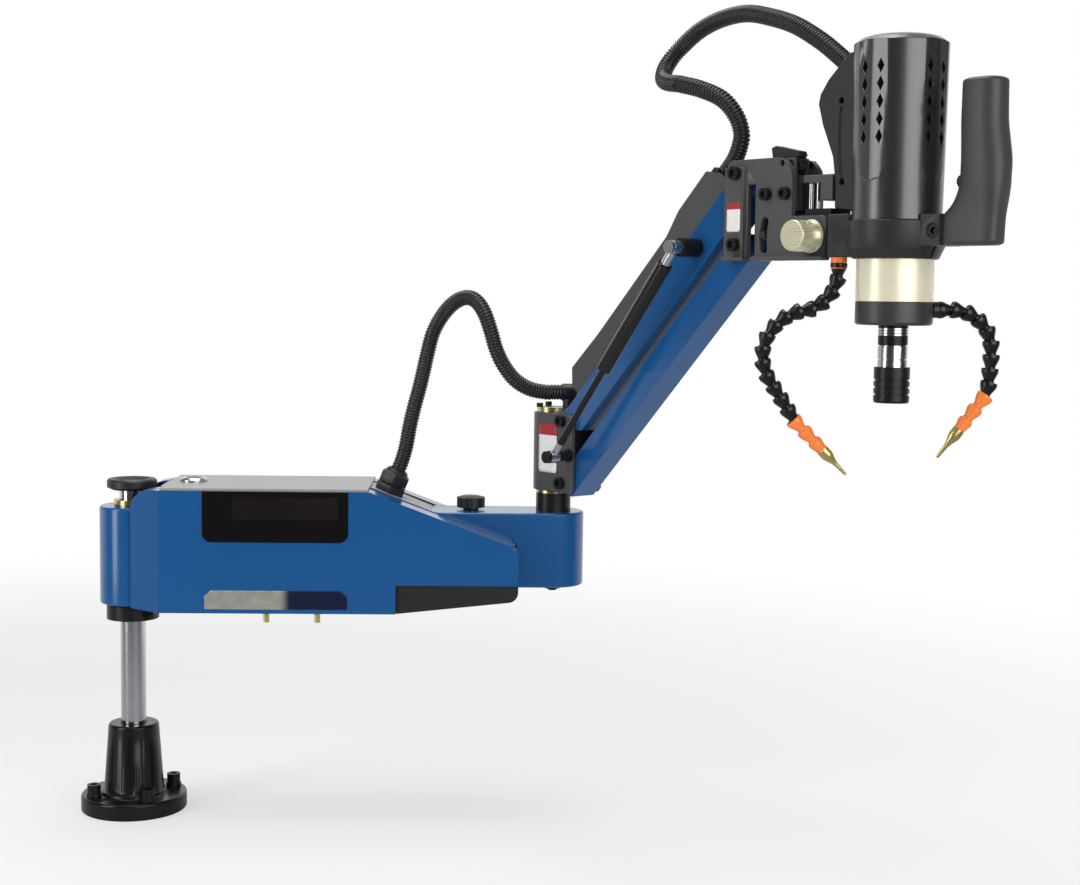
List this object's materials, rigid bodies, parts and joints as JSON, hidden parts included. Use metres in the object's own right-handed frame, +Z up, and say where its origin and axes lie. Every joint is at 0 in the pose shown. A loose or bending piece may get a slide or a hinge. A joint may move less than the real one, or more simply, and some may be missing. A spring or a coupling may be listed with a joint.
{
  "type": "arm tapping machine",
  "caption": "Electric tapping machine on a column: swinging control arm with screen, gas-spring parallelogram forearm, upright tapping head with grip and jointed coolant hoses.",
  "frame": {"origin": "centre of the base flange's underside, at the middle of its bolt circle", "axes": "+Z up along the column, +X along the control arm towards the elbow, -Y towards the screen side"},
  "size_m": [0.9882, 0.5736, 0.9653],
  "materials": {
    "black_casting": "satin black enamel on cast iron",
    "ground_steel": "ground and hard chromed bar",
    "blue_paint": "glossy blue textured paint",
    "bronze": "turned bronze",
    "grey_deck": "grey anodised sheet",
    "black_plastic": "fine grained moulded plastic",
    "black_screen": "glossy black display window",
    "brushed_plate": "brushed stainless plate",
    "brass": "turned brass",
    "bright_metal": "bright plated metal",
    "green_board": "green circuit board",
    "black_oxide": "black oxide steel",
    "grey_casting": "fine textured dark grey paint",
    "spring_rod": "hard chromed rod",
    "spring_tube": "black lacquered tube",
    "nickel": "nickel plated, slightly yellow",
    "shell_black": "satin black painted cover",
    "motor_grey": "sealed inner motor",
    "bright_sleeve": "turned sleeve, champagne tint",
    "dark_ring": "dark turned ring",
    "grip_moulding": "dark grey moulded grip",
    "hose_black": "black moulded hose segments",
    "orange_plastic": "orange moulded nozzle with brass tip",
    "conduit_black": "black corrugated conduit"
  },
  "bodies": {
    "stand": {"base_flange": "black_casting", "base_bolts": "black_oxide", "column": "ground_steel", "column_cap": "black_plastic"},
    "collar": {"column_collar": "black_oxide", "collar_screw": "black_oxide"},
    "control_arm": {"arm_casting": "blue_paint", "column_bushes": "bronze", "front_cover": "blue_paint", "rear_cover": "blue_paint", "top_lid": "grey_deck", "lower_tray": "black_plastic", "touch_panel": "black_screen", "badge_plate": "brushed_plate", "air_nipples": "brass", "power_connector": "bright_metal", "cable_gland": "black_plastic", "drive_board": "green_board", "elbow_shaft": "black_oxide", "elbow_nut": "black_oxide", "lower_conduit": "conduit_black"},
    "arm_knob": {"elbow_knob": "black_plastic"},
    "hub": {"elbow_hub": "grey_casting", "hub_bushes": "bronze", "hub_fasteners": "black_oxide", "gas_stud": "black_oxide", "conduit_socket": "black_plastic"},
    "upper_link": {"upper_link": "blue_paint", "cable_cover": "grey_casting", "cover_gland": "black_plastic", "gas_boss": "black_oxide"},
    "lower_link": {"lower_link": "blue_paint"},
    "gas_rod": {"gas_rod": "spring_rod"},
    "gas_tube": {"gas_tube": "spring_tube"},
    "end_bracket": {"end_bracket": "grey_casting", "bracket_bolts": "black_oxide", "upper_conduit": "conduit_black"},
    "head": {"head_carrier": "grey_casting", "latch_guide": "black_oxide", "latch_pins": "ground_steel", "motor_shell": "shell_black", "rear_shroud": "black_plastic", "servo_motor": "motor_grey", "gearbox_sleeve": "bright_sleeve", "end_ring": "dark_ring", "spindle_bearings": "bright_metal", "grip": "grip_moulding", "clamp_screw": "black_oxide", "hose_left_root": "orange_plastic", "hose_right_root": "black_plastic"},
    "tilt_knob": {"tilt_knob": "nickel"},
    "latch_block": {"latch_block": "grey_casting"},
    "lock_lever": {"lock_lever": "black_plastic"},
    "spindle": {"spindle": "bright_metal"},
    "chuck_sleeve": {"chuck_sleeve": "black_oxide"},
    "trigger_button": {"trigger_button": "black_plastic"},
    "hose_left": {"hose_left": "hose_black"},
    "nozzle_left": {"nozzle_left": "orange_plastic"},
    "hose_right": {"hose_right": "hose_black"},
    "nozzle_right": {"nozzle_right": "orange_plastic"}
  },
  "joints": [
    {"name": "collar_height", "type": "slide", "parent": "stand", "child": "collar", "axis": [0, 0, 1], "range_m": [-0.125, 0.01]},
    {"name": "column_swing", "type": "hinge", "parent": "collar", "child": "control_arm", "pos_m": [0, 0, 0.313], "axis": [0, 0, 1], "range_deg": [-180, 180]},
    {"name": "elbow_knob_turn", "type": "hinge", "parent": "control_arm", "child": "arm_knob", "pos_m": [0.408, 0, 0.37], "axis": [0, 0, 1], "range_deg": [0, 180]},
    {"name": "elbow_swing", "type": "hinge", "parent": "control_arm", "child": "hub", "pos_m": [0.508, 0, 0.396], "axis": [0, 0, 1], "range_deg": [-78, 182], "deforming": ["lower_conduit"]},
    {"name": "arm_lift", "type": "hinge", "parent": "hub", "child": "upper_link", "pos_m": [0.53386, -0.0331, 0.482], "axis": [-0.788, -0.6157, 0], "range_deg": [-60, 12]},
    {"name": "lower_link_swing", "type": "hinge", "parent": "hub", "child": "lower_link", "pos_m": [0.53386, -0.0331, 0.408], "axis": [-0.788, -0.6157, 0], "range_deg": [-60.5, 12.5]},
    {"name": "bracket_swing", "type": "hinge", "parent": "upper_link", "child": "end_bracket", "pos_m": [0.70451, -0.25152, 0.75919], "axis": [-0.788, -0.6157, 0], "range_deg": [-12.5, 60.5]},
    {"name": "gas_rod_swing", "type": "hinge", "parent": "hub", "child": "gas_rod", "pos_m": [0.54248, -0.04413, 0.442], "axis": [-0.788, -0.6157, 0], "range_deg": [-61, 13]},
    {"name": "gas_stroke", "type": "slide", "parent": "gas_rod", "child": "gas_tube", "axis": [0.3896, -0.4987, 0.7742], "range_m": [-0.045, 0.012]},
    {"name": "head_tilt", "type": "hinge", "parent": "end_bracket", "child": "head", "pos_m": [0.76731, -0.3319, 0.69219], "axis": [-0.788, -0.6157, 0], "range_deg": [-12, 12], "deforming": ["upper_conduit"]},
    {"name": "tilt_knob_turn", "type": "hinge", "parent": "end_bracket", "child": "tilt_knob", "pos_m": [0.76731, -0.3319, 0.69219], "axis": [-0.788, -0.6157, 0], "range_deg": [0, 180]},
    {"name": "latch_slide", "type": "slide", "parent": "head", "child": "latch_block", "axis": [0, 0, 1], "range_m": [-0.006, 0]},
    {"name": "lock_lever_swing", "type": "hinge", "parent": "end_bracket", "child": "lock_lever", "pos_m": [0.74145, -0.2988, 0.76719], "axis": [-0.788, -0.6157, 0], "range_deg": [-30, 0]},
    {"name": "spindle_spin", "type": "hinge", "parent": "head", "child": "spindle", "pos_m": [0.82025, -0.39967, 0.55], "axis": [0, 0, 1], "continuous": true},
    {"name": "chuck_release", "type": "slide", "parent": "spindle", "child": "chuck_sleeve", "axis": [0, 0, 1], "range_m": [0, 0.005], "stiffness_N_per_m": 800},
    {"name": "trigger_press", "type": "slide", "parent": "head", "child": "trigger_button", "axis": [0.6157, -0.788, 0], "range_m": [0, 0.003], "stiffness_N_per_m": 400},
    {"name": "hose_left_swivel", "type": "hinge", "parent": "head", "child": "hose_left", "pos_m": [0.77026, -0.37467, 0.66219], "axis": [0, 0, 1], "range_deg": [-30, 60]},
    {"name": "nozzle_left_tilt", "type": "hinge", "parent": "hose_left", "child": "nozzle_left", "pos_m": [0.73072, -0.37467, 0.50772], "axis": [0, 1, 0], "range_deg": [-18, 20]},
    {"name": "hose_right_swivel", "type": "hinge", "parent": "head", "child": "hose_right", "pos_m": [0.86676, -0.39967, 0.62052], "axis": [1, 0, 0], "range_deg": [-30, 30]},
    {"name": "nozzle_right_tilt", "type": "hinge", "parent": "hose_right", "child": "nozzle_right", "pos_m": [0.91207, -0.39967, 0.53474], "axis": [0, 1, 0], "range_deg": [-20, 12]}
  ],
  "couplings": [
    {"joint": "lower_link_swing", "follows": "arm_lift", "ratio": 1},
    {"joint": "bracket_swing", "follows": "arm_lift", "ratio": -1},
    {"joint": "gas_rod_swing", "follows": "arm_lift", "ratio": 0.985},
    {"joint": "gas_stroke", "follows": "arm_lift", "m_per_rad": 0.0403}
  ]
}
